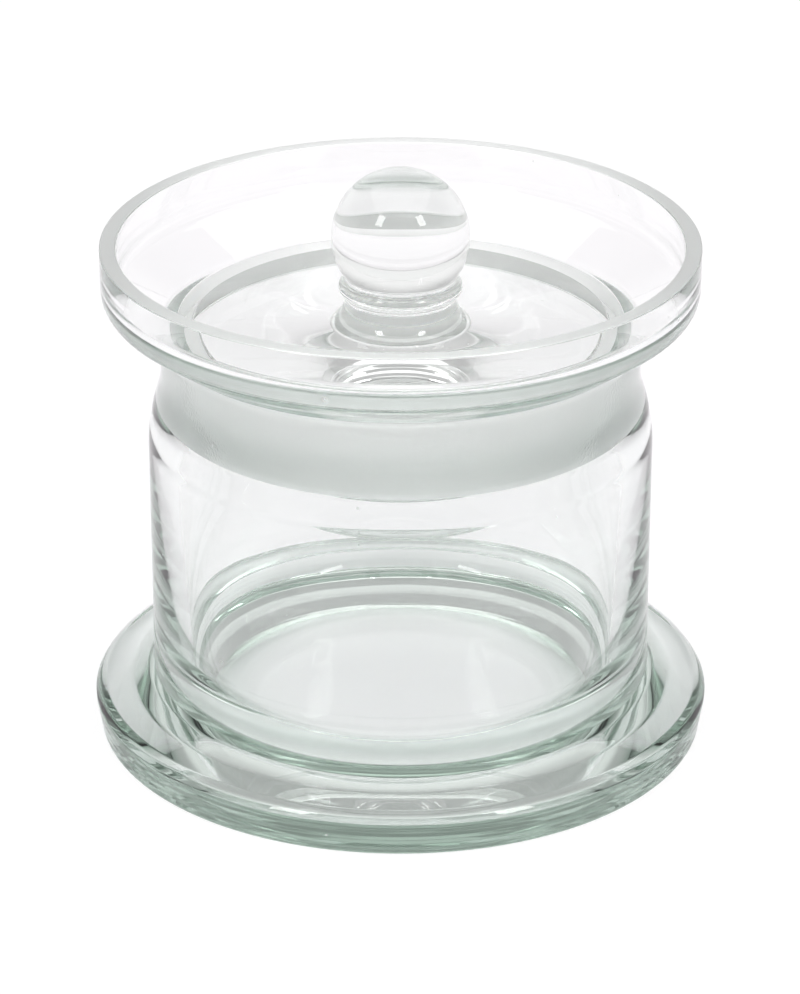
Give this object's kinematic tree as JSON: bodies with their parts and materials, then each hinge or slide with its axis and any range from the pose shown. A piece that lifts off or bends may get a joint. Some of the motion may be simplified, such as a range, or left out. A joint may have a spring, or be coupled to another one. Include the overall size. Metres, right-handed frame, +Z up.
{
  "type": "specimen jar with ground-in knobbed lid",
  "caption": "Footed clear glass jar with a wide dished collar, a ground neck and a ground plug lid with a ball knob that lifts straight out.",
  "frame": {"origin": "centre of the foot's underside, on the surface the jar stands on", "axes": "+Z up along the jar's axis of revolution; X and Y are free, because every piece is round"},
  "size_m": [0.1058, 0.1058, 0.0997],
  "materials": {
    "jar_glass": "fire-polished soda-lime glass, ground inside the neck and on the rim",
    "lid_glass": "pressed soda-lime glass, ground on the plug's side"
  },
  "bodies": {
    "jar": {"jar_body": "jar_glass", "foot": "jar_glass"},
    "lid": {"lid": "lid_glass", "knob": "lid_glass"}
  },
  "joints": [
    {"name": "lid_lift", "type": "slide", "parent": "jar", "child": "lid", "axis": [0, 0, 1], "range_m": [0, 0.0352]}
  ]
}
